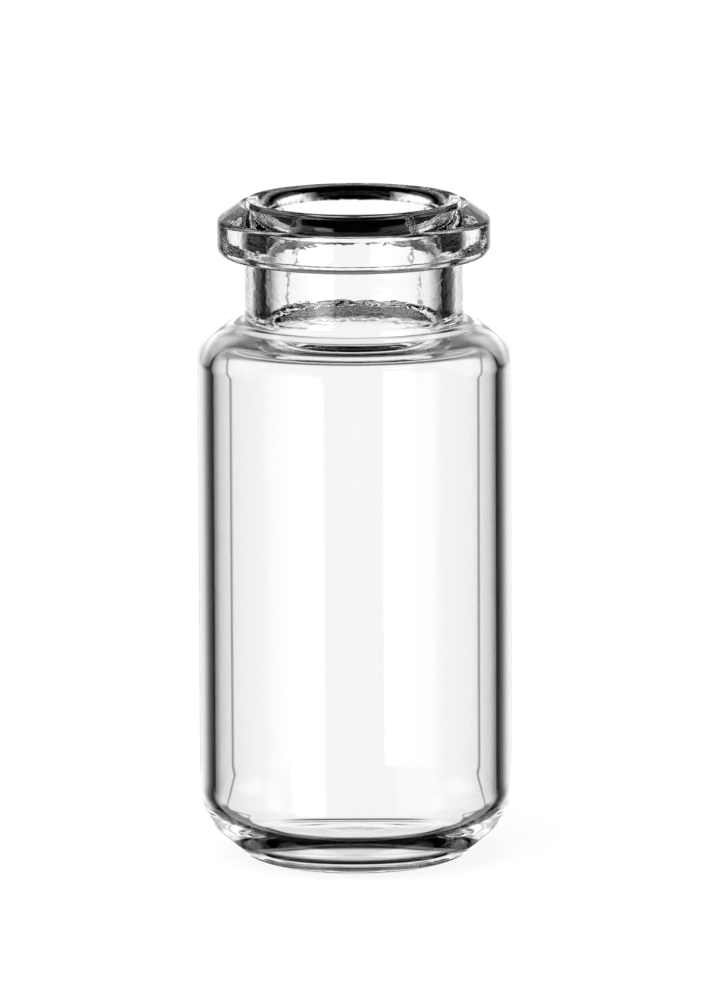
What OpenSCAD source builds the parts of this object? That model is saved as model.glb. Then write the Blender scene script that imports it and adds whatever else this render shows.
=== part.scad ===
// Crimp-neck sample vial, formed from one piece of clear glass tube.
// It stands on z = 0 with its axis on the Z axis. Millimetres.

/* [Body] */
// Overall height, from the foot to the crest of the lip
vial_h = 48.9; // [40:0.1:80]
// Outside diameter of the barrel
body_d = 23; // [21:0.1:28]
// Thickness of the wall in the barrel
wall_t = 1.15; // [0.8:0.05:1.6]

/* [Base] */
// Height at which the barrel would meet the slant under it
heel_h = 3.1; // [2.8:0.1:3.6]
// Diameter at which that slant would meet the foot's plane
foot_d = 15.5; // [15:0.1:16.5]
// Rounding between the barrel and the slant
heel_r = 5.3; // [4:0.1:5.6]
// Rounding between the slant and the foot
foot_r = 2.6; // [1.5:0.1:2.7]
// Thickness of the floor over the foot ring
floor_t = 1.35; // [1.1:0.05:1.8]
// Height inside at which the wall would meet the slant under it
heel_inner_h = 4.05; // [3.6:0.05:5]
// Diameter at which that slant would meet the floor
floor_d = 15.2; // [13:0.1:16]
// Rounding between the wall and the slant, inside
heel_inner_r = 2.7; // [1:0.1:3.2]
// Rounding between the slant and the floor
floor_r = 2.6; // [0.5:0.1:2.8]
// Height of the pushed-up middle of the underside
punt_h = 0.2; // [0.15:0.05:0.4]
// Diameter of the pushed-up middle
punt_d = 11.6; // [8:0.2:12]
// Height of the low dome in the middle of the floor inside
dome_h = 0.15; // [0.1:0.05:0.4]
// Diameter of that dome
dome_d = 6.8; // [5:0.2:7.6]

/* [Shoulder] */
// Depth under the crest at which the shoulder meets the neck
shoulder_depth = 8.9; // [8.6:0.1:12]
// Outside radius of the shoulder
shoulder_r = 2.8; // [2:0.1:3]
// Radius between the shoulder and the neck, outside
root_r = 0.45; // [0.2:0.05:0.5]
// Outside height lost from the neck's root to where shoulder and barrel would meet
shoulder_fall = 0.25; // [0:0.05:0.6]
// Depth of the throat's corner under the root of the neck
throat_drop = 0.6; // [0.5:0.1:1.2]
// Height lost inside, from the throat's corner to where shoulder and wall would meet
throat_fall = 1.3; // [0.4:0.1:1.6]
// Inside radius of the shoulder
shoulder_inner_r = 2; // [1:0.1:2.4]
// Radius between the shoulder and the bore, inside
throat_r = 1.3; // [0.6:0.1:1.8]

/* [Neck] */
// Outside diameter of the neck
neck_d = 16; // [15.8:0.1:16.2]
// Bore that takes the stopper
bore_d = 12.8; // [12.4:0.1:13.2]

/* [Lip] */
// Diameter of the lip that a cap is crimped over
lip_d = 20; // [19.8:0.1:20.4]
// Height of the lip
lip_h = 4.15; // [3.8:0.05:4.5]
// Height of the slope from the side of the lip to the crest
slope_h = 1.4; // [1.2:0.05:1.8]
// Diameter of the narrow ridge at the top of that slope
ridge_d = 16.8; // [16.7:0.1:17]
// Depth of that ridge under the crest
ridge_depth = 0.3; // [0.2:0.05:0.3]
// Depth of the groove between the ridge and the crest
groove_h = 0.4; // [0.4:0.05:0.55]
// Diameter of the groove at its bottom
groove_d = 16.1; // [15.9:0.05:16.2]
// Outside diameter of the crest
crest_d = 15.6; // [15.2:0.1:15.7]
// Rounding at the outer edge of the crest
crest_r = 0.05; // [0.05:0.05:0.15]
// Width of the flat on top of the crest
crest_w = 0.3; // [0.2:0.05:0.6]
// Depth by which the top falls from that flat to the mouth
mouth_fall = 0.2; // [0.1:0.05:0.4]
// Rounding of the mouth, from the top into the bore
mouth_r = 0.25; // [0.1:0.05:0.8]
// Rounding over the ridge
ridge_r = 0.1; // [0.05:0.05:0.15]
// Rounding in the groove
groove_r = 0.05; // [0.05:0.05:0.1]
// Rounding between the slope and the side of the lip
edge_r = 0.55; // [0.2:0.05:0.7]
// Rounding of the lip's lower edge
under_r = 0.8; // [0.5:0.05:1.1]
// Radius between the underside of the lip and the neck
collar_r = 0.3; // [0.2:0.05:0.6]

/* [Hidden] */
body_r = body_d / 2;
inner_r = body_r - wall_t;
neck_r = neck_d / 2;
bore_r = bore_d / 2;
lip_r = lip_d / 2;
lip_z = vial_h - lip_h;
root_z = vial_h - shoulder_depth;
throat_z = root_z - throat_drop;
over = 0.2;
$fn = 180;

// the corners of the section from the axis out and round: distance, height, rounding
section = [
    [0, punt_h, 0],
    [punt_d * 0.25, punt_h * 0.85, 8],
    [punt_d / 2, 0, 5],
    [foot_d / 2, 0, foot_r],
    [body_r, heel_h, heel_r],
    [body_r, root_z - shoulder_fall, shoulder_r],
    [neck_r, root_z, root_r],
    [neck_r, lip_z, collar_r],
    [lip_r, lip_z, under_r],
    [lip_r, vial_h - slope_h, edge_r],
    [ridge_d / 2, vial_h - ridge_depth, ridge_r],
    [groove_d / 2, vial_h - groove_h, groove_r],
    [crest_d / 2, vial_h, crest_r],
    [crest_d / 2 - crest_w, vial_h, 1],
    [bore_r, vial_h - mouth_fall, mouth_r],
    [bore_r, throat_z, throat_r],
    [inner_r, throat_z - throat_fall, shoulder_inner_r],
    [inner_r, heel_inner_h, heel_inner_r],
    [floor_d / 2, floor_t, floor_r],
    [dome_d / 2, floor_t, 6],
    [dome_d * 0.2, floor_t + dome_h * 0.9, 6],
    [0, floor_t + dome_h, 0]
];

function corner(i) = [section[i][0], section[i][1]];
function towards(i, j) = (corner(j) - corner(i)) / norm(corner(j) - corner(i));
function half(i) = acos(towards(i, i - 1) * towards(i, i + 1)) / 2;
function inward(i) = (towards(i, i - 1) + towards(i, i + 1)) / (2 * cos(half(i)));
function meet(i, j) = corner(i) + towards(i, j) * section[i][2] / tan(half(i));
function centre(i) = corner(i) + inward(i) * section[i][2] / sin(half(i));
function hollow(i) = cross(towards(i - 1, i), towards(i, i + 1)) < 0;

last = len(section) - 1;
rounded = [1 : last - 1];

// what lies between a corner and the arc that rounds it
module patch(i) {
    difference() {
        polygon([corner(i) - inward(i) * over, meet(i, i - 1), centre(i), meet(i, i + 1)]);
        translate(centre(i)) circle(r = section[i][2]);
    }
}

module vial() {
    color([0.93, 0.96, 0.95, 0.3])
    rotate_extrude()
    difference() {
        union() {
            polygon([
                corner(0),
                for (i = rounded) each [meet(i, i - 1), corner(i), meet(i, i + 1)],
                corner(last)
            ]);
            for (i = rounded) {
                if (hollow(i)) patch(i);
            }
        }
        for (i = rounded) {
            if (!hollow(i)) patch(i);
        }
    }
}

vial();
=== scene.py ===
"""Looks for an open, clear glass vial: one piece of drawn glass on a white studio bench."""

import logging
import math
from dataclasses import dataclass, field
from enum import Enum
from typing import Any, Union

import bmesh
import bpy
from mathutils import Matrix, Vector

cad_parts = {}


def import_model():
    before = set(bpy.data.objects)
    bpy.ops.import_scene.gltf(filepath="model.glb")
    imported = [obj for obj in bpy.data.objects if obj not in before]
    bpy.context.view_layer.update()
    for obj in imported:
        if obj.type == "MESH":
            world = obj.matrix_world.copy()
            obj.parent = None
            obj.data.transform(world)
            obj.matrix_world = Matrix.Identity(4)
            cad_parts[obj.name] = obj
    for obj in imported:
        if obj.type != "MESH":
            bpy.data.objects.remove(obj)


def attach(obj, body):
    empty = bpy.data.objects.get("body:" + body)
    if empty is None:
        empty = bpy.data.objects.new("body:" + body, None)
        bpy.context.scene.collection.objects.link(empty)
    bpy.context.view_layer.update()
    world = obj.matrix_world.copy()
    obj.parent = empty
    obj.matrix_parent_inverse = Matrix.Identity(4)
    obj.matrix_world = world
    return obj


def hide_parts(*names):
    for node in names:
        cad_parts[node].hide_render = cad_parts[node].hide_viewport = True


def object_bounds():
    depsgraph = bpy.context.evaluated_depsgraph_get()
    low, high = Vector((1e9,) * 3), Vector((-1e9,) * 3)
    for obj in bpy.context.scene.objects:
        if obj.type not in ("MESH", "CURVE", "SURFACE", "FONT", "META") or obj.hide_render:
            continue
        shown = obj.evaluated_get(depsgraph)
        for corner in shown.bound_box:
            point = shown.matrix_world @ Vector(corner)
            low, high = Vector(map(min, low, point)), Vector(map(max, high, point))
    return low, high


MM = 0.001
WHITE = (1.0, 1.0, 1.0, 1.0)
log = logging.getLogger("vial")

Colour = tuple[float, float, float]
Value = Union["Socket", float]
Corner = tuple[float, float, float]
Span = tuple[float, float]


def polar(azimuth: float, elevation: float = 0.0) -> Vector:
    """Gives the unit vector from the vial towards a viewer.

    Args:
        azimuth: degrees round the vial, 0 in front, 90 on the right.
        elevation: degrees above the bench.

    Returns:
        The vector, in the row's frame.
    """
    a, e = math.radians(azimuth), math.radians(elevation)
    return Vector((math.sin(a) * math.cos(e), -math.cos(a) * math.cos(e), math.sin(e)))


# ---------------------------------------------------------------- shader maths


class Socket:
    """One output socket, so that shader maths reads as Python expressions."""

    def __init__(self, sheet: "NodeSheet", out: bpy.types.NodeSocket) -> None:
        """Wraps an output socket of a sheet's node tree."""
        self.sheet = sheet
        self.out = out

    def _math(self, operation: str, *values: Value) -> "Socket":
        """Adds a Math node.

        Args:
            operation: the node's operation.
            values: its inputs, in order.

        Returns:
            The node's result.
        """
        return self.sheet.node("ShaderNodeMath", {"operation": operation}, dict(enumerate(values)))

    def __add__(self, other: Value) -> "Socket":
        """Adds."""
        return self._math("ADD", self, other)

    __radd__ = __add__

    def __sub__(self, other: Value) -> "Socket":
        """Subtracts."""
        return self._math("SUBTRACT", self, other)

    def __rsub__(self, other: Value) -> "Socket":
        """Subtracts from a number."""
        return self._math("SUBTRACT", other, self)

    def __mul__(self, other: Value) -> "Socket":
        """Multiplies."""
        return self._math("MULTIPLY", self, other)

    __rmul__ = __mul__

    def __truediv__(self, other: Value) -> "Socket":
        """Divides."""
        return self._math("DIVIDE", self, other)

    def __pow__(self, other: Value) -> "Socket":
        """Raises to a power."""
        return self._math("POWER", self, other)

    def at_most(self, limit: float) -> "Socket":
        """Holds the value down to a limit."""
        return self._math("MINIMUM", self, limit)

    def is_under(self, limit: float) -> "Socket":
        """Gives 1 where the value is under a limit, and 0 elsewhere."""
        return self._math("LESS_THAN", self, limit)

    def is_over(self, limit: float) -> "Socket":
        """Gives 1 where the value is over a limit, and 0 elsewhere."""
        return self._math("GREATER_THAN", self, limit)

    def degrees_of_cosine(self) -> "Socket":
        """Turns a cosine into its angle in degrees."""
        return self._math("ARCCOSINE", self) * math.degrees(1.0)

    def ramp(self, low: float, high: float) -> "Socket":
        """Rises smoothly from 0 at low to 1 at high, or falls where high is the smaller.

        Args:
            low: the value that gives 0.
            high: the value that gives 1.

        Returns:
            The eased share.
        """
        if low > high:
            return 1.0 - self.ramp(high, low)
        settings = {"interpolation_type": "SMOOTHSTEP"}
        inputs = {"Value": self, "From Min": low, "From Max": high}
        return self.sheet.node("ShaderNodeMapRange", settings, inputs)


class NodeSheet:
    """A node tree that is being filled in."""

    def __init__(self, tree: bpy.types.NodeTree) -> None:
        """Empties the tree and starts on it."""
        tree.nodes.clear()
        self.tree = tree

    def add(
        self,
        kind: str,
        settings: dict[str, Any] | None = None,
        inputs: dict[str | int, Any] | None = None,
    ) -> bpy.types.Node:
        """Adds a node of any kind.

        Args:
            kind: the node's type.
            settings: its properties, set before its sockets. "stops" fills a ramp with pairs of
                place and level.
            inputs: for each socket's name or number, a value or a Socket to link.

        Returns:
            The node.
        """
        node = self.tree.nodes.new(kind)
        for name, value in (settings or {}).items():
            if name == "stops":
                ramp = node.color_ramp
                while len(ramp.elements) < len(value):
                    ramp.elements.new(1.0)
                for element, (place, level) in zip(ramp.elements, value):
                    element.position = place
                    element.color = (level, level, level, 1.0)
            else:
                setattr(node, name, value)
        for name, value in (inputs or {}).items():
            if isinstance(value, Socket):
                self.tree.links.new(value.out, node.inputs[name])
            else:
                node.inputs[name].default_value = value
        return node

    def node(
        self,
        kind: str,
        settings: dict[str, Any] | None = None,
        inputs: dict[str | int, Any] | None = None,
        output: str | int = 0,
    ) -> Socket:
        """Adds a node as add() does and gives one of its outputs.

        Args:
            kind: the node's type.
            settings: its properties.
            inputs: its sockets' values or links.
            output: the output's name or number.

        Returns:
            That output.
        """
        return Socket(self, self.add(kind, settings, inputs).outputs[output])

    def axes(self, vector: Socket) -> tuple[Socket, Socket, Socket]:
        """Splits a vector into its three parts."""
        x, y, z = self.add("ShaderNodeSeparateXYZ", {}, {0: vector}).outputs
        return Socket(self, x), Socket(self, y), Socket(self, z)


# -------------------------------------------------------------------- finishes


@dataclass(frozen=True)
class ClearGlass:
    """Colourless drawn glass, fire-polished, with the faint waver that drawing leaves.

    The waver runs all over. The tooling marks are where a tool shaped the neck and the lip: spans are from no
    marks to full marks, in millimetres from the axis or above the foot. Depths are in millimetres.
    """

    name: str = "clear_glass"
    tint: Colour = (0.998, 0.999, 0.998)
    ior: float = 1.492
    film: float = 0.012
    film_size: float = 160.0
    film_span: Span = (0.35, 0.8)
    waver: float = 0.02
    waver_size: float = 90.0
    drawn_out: float = 0.25
    tooling: float = 0.02
    tooling_size: float = 1000.0
    tooling_ringed: float = 1.6
    throat_share: float = 0.8
    throat_radius: Span = (7.6, 7.0)
    throat_foot: Span = (34.5, 38.5)
    throat_top: Span = (46.5, 44.0)
    lip_radius: Span = (8.3, 8.9)
    lip_foot: Span = (44.2, 45.2)

    def marks(self, sheet: NodeSheet, place: Socket) -> Socket:
        """Works out where the glass was tooled.

        Args:
            sheet: the glass's node tree.
            place: the place on the glass.

        Returns:
            The share of the tooling's depth, from 0 to 1.
        """

        def span(value: Socket, limits: Span) -> Socket:
            """Rises from 0 to 1 over a span in millimetres."""
            return value.ramp(limits[0] * MM, limits[1] * MM)

        x, y, z = sheet.axes(place)
        radius = (x * x + y * y) ** 0.5
        throat = span(radius, self.throat_radius) * span(z, self.throat_foot) * span(z, self.throat_top)
        lip = span(radius, self.lip_radius) * span(z, self.lip_foot)
        return throat * self.throat_share + lip

    def material(self) -> bpy.types.Material:
        """Builds the glass.

        Returns:
            The material.
        """
        made = bpy.data.materials.new(self.name)
        made.use_nodes = True
        sheet = NodeSheet(made.node_tree)
        place = sheet.node("ShaderNodeTexCoord", output="Object")
        along = {"Vector": place, "Scale": (1.0, 1.0, self.drawn_out)}
        drawn = sheet.node("ShaderNodeMapping", {}, along)
        grease = {"Vector": drawn, "Scale": self.film_size, "Detail": 3.0}
        film = sheet.node("ShaderNodeTexNoise", {}, grease)
        waves = {"Vector": drawn, "Scale": self.waver_size, "Detail": 1.0}
        waver = sheet.node("ShaderNodeTexNoise", {}, waves)
        around = {"Vector": place, "Scale": (1.0, 1.0, self.tooling_ringed)}
        ringed = sheet.node("ShaderNodeMapping", {}, around)
        dents = {"Vector": ringed, "Scale": self.tooling_size, "Detail": 1.5, "Distortion": 0.6}
        tooled = sheet.node("ShaderNodeTexNoise", {}, dents)
        height = waver * self.waver + tooled * self.marks(sheet, place) * self.tooling
        normal = sheet.node("ShaderNodeBump", {}, {"Strength": 1.0, "Distance": MM, "Height": height})
        glass = sheet.node(
            "ShaderNodeBsdfPrincipled",
            {},
            {
                "Base Color": (*self.tint, 1.0),
                "Roughness": film.ramp(*self.film_span) * self.film,
                "IOR": self.ior,
                "Transmission Weight": 1.0,
                "Normal": normal,
            },
        )
        sheet.add("ShaderNodeOutputMaterial", {}, {"Surface": glass})
        return made


# ------------------------------------------------------------------- the glass


class Outline:
    """Half of an upright section, drawn as a chain of edges in the XZ plane. Lengths are in millimetres."""

    NOTHING = 1e-4
    GUARD = 0.04
    LONG_ENOUGH = 0.3
    STRIDE = 2.0
    DEGREES_A_STEP = 4.0
    FEWEST_STEPS = 3

    def __init__(self, mesh: bmesh.types.BMesh, x: float, z: float) -> None:
        """Starts the chain at a point, in millimetres."""
        self.mesh = mesh
        self.end = mesh.verts.new((x * MM, 0.0, z * MM))

    def step(self, x: float, z: float) -> None:
        """Draws one edge to a point, in millimetres."""
        grown = bmesh.ops.extrude_vert_indiv(self.mesh, verts=[self.end])["verts"]
        bmesh.ops.translate(self.mesh, verts=grown, vec=Vector((x * MM, 0.0, z * MM)) - self.end.co)
        self.end = grown[0]

    def line(self, x: float, z: float) -> None:
        """Runs straight to a point, with a short guard edge at either end that keeps a flat's shading true.

        Args:
            x: its distance from the axis, in millimetres.
            z: its height, in millimetres.
        """
        start, goal = self.end.co / MM, Vector((x, 0.0, z))
        long = (goal - start).length
        if long < self.NOTHING:
            return
        guards = [self.GUARD / long, 1.0 - self.GUARD / long] if long > self.LONG_ENOUGH else []
        strides = max(1, round(long / self.STRIDE)) if guards else 1
        for share in guards[:1] + [i / strides for i in range(1, strides)] + guards[1:] + [1.0]:
            place = start.lerp(goal, share)
            self.step(place.x, place.z)

    def arc(self, x: float, z: float, turn: float) -> None:
        """Turns about a centre.

        Args:
            x: the centre's distance from the axis, in millimetres.
            z: its height, in millimetres.
            turn: degrees, positive anticlockwise as seen with the axis on the left.
        """
        spun = bmesh.ops.spin(
            self.mesh,
            geom=[self.end],
            cent=(x * MM, 0.0, z * MM),
            axis=(0.0, -1.0, 0.0),
            angle=math.radians(turn),
            steps=max(self.FEWEST_STEPS, math.ceil(abs(turn) / self.DEGREES_A_STEP)),
        )
        self.end = next(item for item in spun["geom_last"] if isinstance(item, bmesh.types.BMVert))

    def follow(self, corners: list[Corner]) -> None:
        """Runs along a row of corners, rounding each.

        Args:
            corners: for each, its distance from the axis, its height and its rounding. The first is
                where the chain stands.
        """
        for last, here, coming in zip(corners, corners[1:], corners[2:]):
            spot = Vector(here[:2])
            back = (Vector(last[:2]) - spot).normalized()
            on = (Vector(coming[:2]) - spot).normalized()
            half = back.angle(on) / 2
            meet = spot + back * here[2] / math.tan(half)
            centre = spot + (back + on).normalized() * here[2] / math.sin(half)
            self.line(meet.x, meet.y)
            side = 1.0 if back.x * on.y - back.y * on.x < 0.0 else -1.0
            self.arc(centre.x, centre.y, side * (180.0 - 2 * math.degrees(half)))
        self.line(corners[-1][0], corners[-1][1])


@dataclass
class Vial:
    """The vial's one piece of glass. Sizes are in millimetres.

    A name in _r is a radius or a rounding, in _x a distance from the axis, in _h a height and in _d a depth
    under the crest. The punt is the pushed-up middle of the underside, and the dome is its rise inside.
    """

    height: float
    body_r: float
    wall: float = 1.15
    heel_h: float = 3.11
    foot_x: float = 7.77
    heel_r: float = 5.33
    foot_r: float = 2.63
    floor: float = 1.36
    heel_in_h: float = 4.06
    floor_x: float = 7.62
    heel_in_r: float = 2.67
    floor_r: float = 2.6
    punt_h: float = 0.2
    punt_x: float = 6.6
    punt_middle: float = 0.333
    punt_ease: float = 0.9
    punt_middle_r: float = 3.0
    punt_r: float = 0.8
    dome_h: float = 0.17
    dome_x: float = 3.38
    dome_middle: float = 0.4
    dome_ease: float = 0.85
    dome_r: float = 2.0
    shoulder_d: float = 8.9
    shoulder_r: float = 2.8
    root_r: float = 0.47
    fall: float = 0.27
    throat_d: float = 9.5
    throat_fall: float = 1.3
    shoulder_in_r: float = 2.0
    throat_r: float = 1.3
    neck_r: float = 8.0
    bore_r: float = 6.41
    bore_low_r: float = 6.45
    lip_r: float = 10.0
    lip_h: float = 4.17
    slope_h: float = 1.41
    ridge_x: float = 8.38
    ridge_d: float = 0.3
    ridge_r: float = 0.1
    groove_h: float = 0.41
    groove_x: float = 8.06
    groove_r: float = 0.07
    crest_x: float = 7.78
    crest_r: float = 0.07
    mouth_dip: float = 0.2
    mouth_r: float = 1.0
    edge_r: float = 0.58
    under_r: float = 0.82
    collar_r: float = 0.28
    rounds: int = 272
    weld: float = 1e-4
    finish: ClearGlass = field(default_factory=ClearGlass)

    def section(self) -> list[Corner]:
        """Lists the section's corners, from the axis under the foot round to the axis over the floor.

        Returns:
            For each corner, its distance from the axis, its height and its rounding.
        """
        inner_r, top = self.body_r - self.wall, self.height
        return [
            (0.0, self.punt_h, 0.0),
            (self.punt_x * self.punt_middle, self.punt_h * self.punt_ease, self.punt_middle_r),
            (self.punt_x, 0.0, self.punt_r),
            (self.foot_x, 0.0, self.foot_r),
            (self.body_r, self.heel_h, self.heel_r),
            (self.body_r, top - self.shoulder_d - self.fall, self.shoulder_r),
            (self.neck_r, top - self.shoulder_d, self.root_r),
            (self.neck_r, top - self.lip_h, self.collar_r),
            (self.lip_r, top - self.lip_h, self.under_r),
            (self.lip_r, top - self.slope_h, self.edge_r),
            (self.ridge_x, top - self.ridge_d, self.ridge_r),
            (self.groove_x, top - self.groove_h, self.groove_r),
            (self.crest_x, top, self.crest_r),
            (self.bore_r, top - self.mouth_dip, self.mouth_r),
            (self.bore_low_r, top - self.throat_d, self.throat_r),
            (inner_r, top - self.throat_d - self.throat_fall, self.shoulder_in_r),
            (inner_r, self.heel_in_h, self.heel_in_r),
            (self.floor_x, self.floor, self.floor_r),
            (self.dome_x, self.floor, self.dome_r),
            (self.dome_x * self.dome_middle, self.floor + self.dome_h * self.dome_ease, self.dome_r),
            (0.0, self.floor + self.dome_h, 0.0),
        ]

    def build(self) -> bpy.types.Object:
        """Turns the section about the axis.

        Returns:
            The finished piece, in place and dressed.
        """
        mesh = bmesh.new()
        corners = self.section()
        Outline(mesh, *corners[0][:2]).follow(corners)
        bmesh.ops.spin(
            mesh,
            geom=list(mesh.verts) + list(mesh.edges),
            cent=(0.0, 0.0, 0.0),
            axis=(0.0, 0.0, 1.0),
            angle=math.tau,
            steps=self.rounds,
            use_merge=True,
        )
        bmesh.ops.remove_doubles(mesh, verts=mesh.verts, dist=self.weld * MM)
        bmesh.ops.recalc_face_normals(mesh, faces=mesh.faces)
        for face in mesh.faces:
            face.smooth = True
        data = bpy.data.meshes.new("vial_glass")
        mesh.to_mesh(data)
        mesh.free()
        data.materials.append(self.finish.material())
        piece = bpy.data.objects.new("vial_glass", data)
        bpy.context.scene.collection.objects.link(piece)
        return piece


# ------------------------------------------------------------------ the studio


class Rays(Enum):
    """Which rays a panel shines on: all, those never reflected, those reflected, or those reflected often."""

    ALL = "all"
    STRAIGHT = "straight"
    REFLECTED = "reflected"
    TRAPPED = "trapped"


@dataclass(frozen=True)
class Panel:
    """A patch of light round the vial, set where a viewer at an azimuth sees it straight through the glass.

    Angles are in degrees. Its light is full up to inner from its middle and gone at outer, or follows stops.
    Its lower edge rises towards the sides, by rounding at a distance of rounding_reach.
    """

    azimuth: float
    lowest: float
    highest: float
    level: float
    inner: float = 19.0
    outer: float = 30.0
    blur: float = 5.0
    rounding: float = 0.0
    rounding_reach: float = 12.0
    rays: Rays = Rays.ALL
    stops: tuple[tuple[float, float], ...] = ()


@dataclass(frozen=True)
class Bench:
    """The white bench under the vial. Lengths are in metres."""

    half: float = 3.0
    drop: float = 0.00002
    matt: float = 0.12
    glow: float = 1.03

    def build(self) -> bpy.types.Object:
        """Lays the bench.

        Returns:
            The finished bench.
        """
        mesh = bmesh.new()
        bmesh.ops.create_grid(mesh, x_segments=1, y_segments=1, size=self.half)
        bmesh.ops.translate(mesh, verts=mesh.verts, vec=(0.0, 0.0, -self.drop))
        data = bpy.data.meshes.new("bench")
        mesh.to_mesh(data)
        mesh.free()
        data.materials.append(self.material())
        bench = bpy.data.objects.new("bench", data)
        bpy.context.scene.collection.objects.link(bench)
        return bench

    def material(self) -> bpy.types.Material:
        """Builds the bench's white, which glows for the camera and lets the light under the glass through.

        Returns:
            The material.
        """
        made = bpy.data.materials.new("bench_white")
        made.use_nodes = True
        sheet = NodeSheet(made.node_tree)
        seen = sheet.node("ShaderNodeLightPath", output="Is Camera Ray")
        glow = sheet.node("ShaderNodeEmission", {}, {"Color": WHITE, "Strength": self.glow})
        matt = sheet.node("ShaderNodeBsdfDiffuse", {}, {"Color": WHITE})
        clear = sheet.node("ShaderNodeBsdfTransparent")
        white = sheet.node("ShaderNodeMixShader", {}, {0: self.matt, 1: glow, 2: matt})
        both = sheet.node("ShaderNodeMixShader", {}, {0: seen, 1: clear, 2: white})
        sheet.add("ShaderNodeOutputMaterial", {}, {"Surface": both})
        return made


@dataclass(frozen=True)
class Lamp:
    """A wide, soft light over the bench, for the faint shadow that the vial stands in. Angles are in degrees."""

    azimuth: float = 200.0
    elevation: float = 65.0
    distance: float = 0.7
    width: float = 60.0
    level: float = 3.6

    def build(self) -> None:
        """Hangs the lamp, which the glass doesn't show."""
        data = bpy.data.lights.new("overhead", "SUN")
        data.angle = math.radians(self.width)
        data.energy = self.level
        lamp = bpy.data.objects.new("overhead", data)
        lamp.location = polar(self.azimuth, self.elevation) * self.distance
        lamp.rotation_euler = (-lamp.location).to_track_quat("-Z", "Y").to_euler()
        lamp.visible_glossy = False
        lamp.visible_transmission = False
        bpy.context.scene.collection.objects.link(lamp)


@dataclass(frozen=True)
class Viewpoint:
    """The camera, a long lens from a little above the vial. Angles are in degrees, lengths in metres."""

    azimuth: float = 225.0
    elevation: float = 10.0
    distance: float = 0.9
    lens: float = 441.3
    aim_height: float = 0.0244
    aim_right: float = 0.00045
    aim_up: float = 0.0021
    roll: float = -0.23

    def build(self) -> None:
        """Sets up the camera and makes it the scene's own."""
        data = bpy.data.cameras.new("camera")
        data.lens = self.lens
        camera = bpy.data.objects.new("camera", data)
        bpy.context.scene.collection.objects.link(camera)
        back = polar(self.azimuth, self.elevation)
        spin = (-back).to_track_quat("-Z", "Y")
        right, up = spin @ Vector((1.0, 0.0, 0.0)), spin @ Vector((0.0, 1.0, 0.0))
        target = Vector((0.0, 0.0, self.aim_height)) + right * self.aim_right + up * self.aim_up
        roll = Matrix.Rotation(math.radians(self.roll), 3, "Z").to_quaternion()
        camera.rotation_mode = "QUATERNION"
        camera.location = target + back * self.distance
        camera.rotation_quaternion = spin @ roll
        bpy.context.scene.camera = camera


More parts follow.
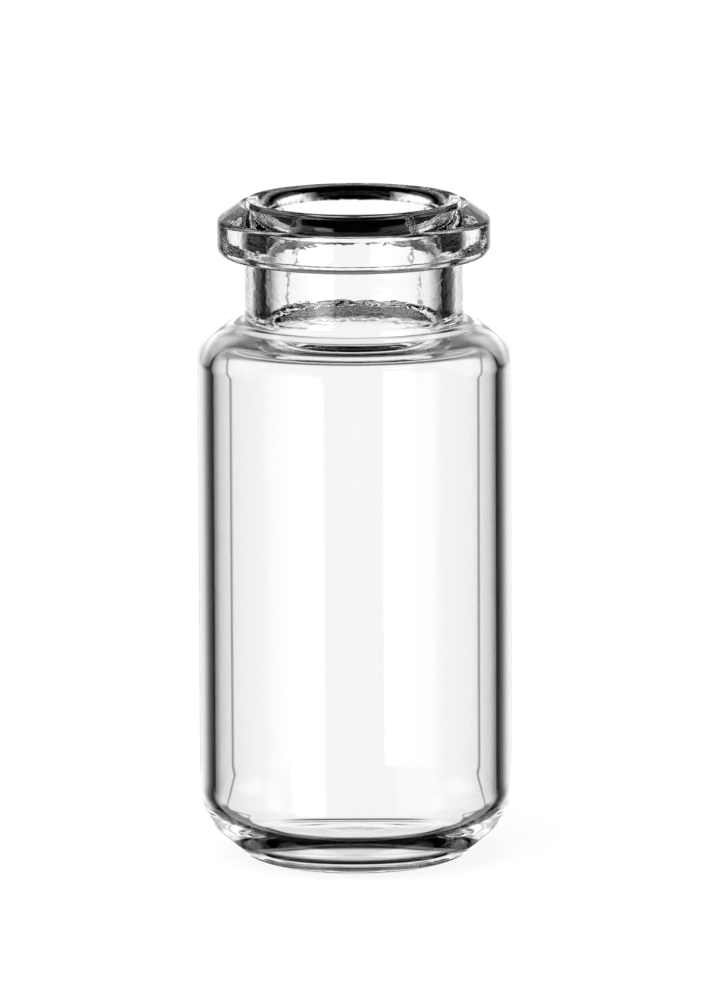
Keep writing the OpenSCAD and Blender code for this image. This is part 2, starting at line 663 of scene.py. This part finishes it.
@dataclass
class Studio:
    """Bench, panels, lamp and camera.

    The glass is lit as clear for viewers near azimuths 0, 45, 90 and 225 only. From anywhere else no window
    stands behind it and it looks dark.
    """

    stops: tuple[tuple[float, float], ...] = (
        (0.0, 1.0),
        (10.4, 1.0),
        (10.6, 0.4),
        (11.4, 0.4),
        (11.6, 1.0),
        (15.0, 1.0),
        (20.0, 0.76),
        (25.0, 0.34),
        (30.0, 0.07),
        (36.0, 0.01),
        (45.0, 0.006),
    )
    spread: float = 90.0
    bounces: int = 28
    no_reflection: float = 0.5
    many_reflections: float = 4.5
    bench: Bench = field(default_factory=Bench)
    lamp: Lamp = field(default_factory=Lamp)
    viewpoint: Viewpoint = field(default_factory=Viewpoint)

    def panels(self) -> list[Panel]:
        """Lists the panels.

        They are the camera's window behind the vial and the glow over it, three soft boxes, the smaller
        lights, the windows for viewers at 0, 90 and 45, and a light all round for rays reflected often.

        Returns:
            The panels.
        """
        return [
            Panel(225.0, -30.0, 13.0, 1.07, blur=3.0, rounding=11.0, stops=self.stops),
            Panel(225.0, 17.0, 52.0, 0.25, 20.0, 34.0),
            Panel(9.0, -19.0, 6.0, 2.3, 10.5, 13.5, 2.0, rays=Rays.REFLECTED),
            Panel(-4.0, -19.0, 6.0, 0.6, 17.0, 24.0, 3.0, rays=Rays.REFLECTED),
            Panel(94.0, -19.0, 6.0, 0.55, 13.0, 21.0, 3.0, rays=Rays.REFLECTED),
            Panel(249.0, 12.0, 24.0, 0.5, 6.0, 12.0),
            Panel(201.0, 12.0, 24.0, 0.5, 6.0, 12.0),
            Panel(296.0, 10.0, 50.0, 0.9, 14.0, 24.0),
            Panel(154.0, 10.0, 50.0, 0.9, 14.0, 24.0),
            Panel(285.0, -95.0, -62.0, 0.9, 28.0, 36.0),
            Panel(165.0, -95.0, -62.0, 0.9, 28.0, 36.0),
            Panel(0.0, -30.0, 28.0, 1.05, rays=Rays.STRAIGHT),
            Panel(90.0, -30.0, 28.0, 1.05, rays=Rays.STRAIGHT),
            Panel(45.0, -55.0, 5.0, 1.05, rays=Rays.STRAIGHT),
            Panel(225.0, 4.0, 26.0, 0.8, 181.0, 182.0, 4.0, rays=Rays.TRAPPED),
        ]

    def light(self, sheet: NodeSheet) -> Socket:
        """Works out how bright the surroundings are along a direction.

        Args:
            sheet: the world's node tree.

        Returns:
            The level, where 1 is white.
        """
        way = sheet.node("ShaderNodeTexCoord", output="Generated")
        x, y, z = sheet.axes(way)
        never_zero = 1e-9
        level_part = (x * x + y * y + never_zero) ** 0.5
        height = 90.0 - z.degrees_of_cosine()
        reflections = sheet.node("ShaderNodeLightPath", output="Glossy Depth")
        straight = reflections.is_under(self.no_reflection)
        trapped = reflections.is_over(self.many_reflections)
        total: Value = 0.0
        for panel in self.panels():
            ahead = -polar(panel.azimuth)
            aside = ((x * ahead.x + y * ahead.y) / level_part).degrees_of_cosine()
            if panel.stops:
                stops = [(place / self.spread, level) for place, level in panel.stops]
                spread = sheet.node("ShaderNodeValToRGB", {"stops": stops}, {0: aside / self.spread})
                lit = spread * panel.level
            else:
                lit = aside.ramp(panel.outer, panel.inner) * panel.level
            above = height
            if panel.rounding:
                above = height - (aside / panel.rounding_reach).at_most(1.0) ** 2.0 * panel.rounding
            lit = lit * above.ramp(panel.lowest - panel.blur, panel.lowest + panel.blur)
            lit = lit * height.ramp(panel.highest + panel.blur, panel.highest - panel.blur)
            if panel.rays is Rays.STRAIGHT:
                lit = lit * straight
            elif panel.rays is Rays.REFLECTED:
                lit = lit * (1.0 - straight)
            elif panel.rays is Rays.TRAPPED:
                lit = lit * trapped
            total = lit + total
        return total

    def surround(self) -> None:
        """Sets the world: white behind everything, panels and darkness for the glass."""
        world = bpy.data.worlds.new("studio")
        world.use_nodes = True
        sheet = NodeSheet(world.node_tree)
        seen = sheet.node("ShaderNodeLightPath", output="Is Camera Ray")
        room = sheet.node("ShaderNodeBackground", {}, {"Color": WHITE, "Strength": self.light(sheet)})
        plain = sheet.node("ShaderNodeBackground", {}, {"Color": WHITE, "Strength": 1.0})
        both = sheet.node("ShaderNodeMixShader", {}, {0: seen, 1: room, 2: plain})
        sheet.add("ShaderNodeOutputWorld", {}, {"Surface": both})
        bpy.context.scene.world = world

    def build(self) -> bpy.types.Object:
        """Builds the whole studio.

        Returns:
            The bench.
        """
        scene = bpy.context.scene
        scene.view_settings.view_transform = "Standard"
        scene.cycles.max_bounces = self.bounces
        scene.cycles.transmission_bounces = self.bounces
        scene.cycles.glossy_bounces = self.bounces
        bench = self.bench.build()
        self.surround()
        self.lamp.build()
        self.viewpoint.build()
        return bench


def main() -> None:
    """Builds the vial and its studio, and reports each piece."""
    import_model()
    low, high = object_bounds()
    vial = Vial(height=(high.z - low.z) / MM, body_r=(high.x - low.x) / 2 / MM)
    piece = vial.build()
    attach(piece, "root")
    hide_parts("vial")
    log.info("%s: %d faces", piece.name, len(piece.data.polygons))
    bench = Studio().build()
    log.info("%s: %d faces", bench.name, len(bench.data.polygons))


if __name__ == "__main__":
    logging.basicConfig(level=logging.INFO, format="%(name)s: %(message)s")
    main()
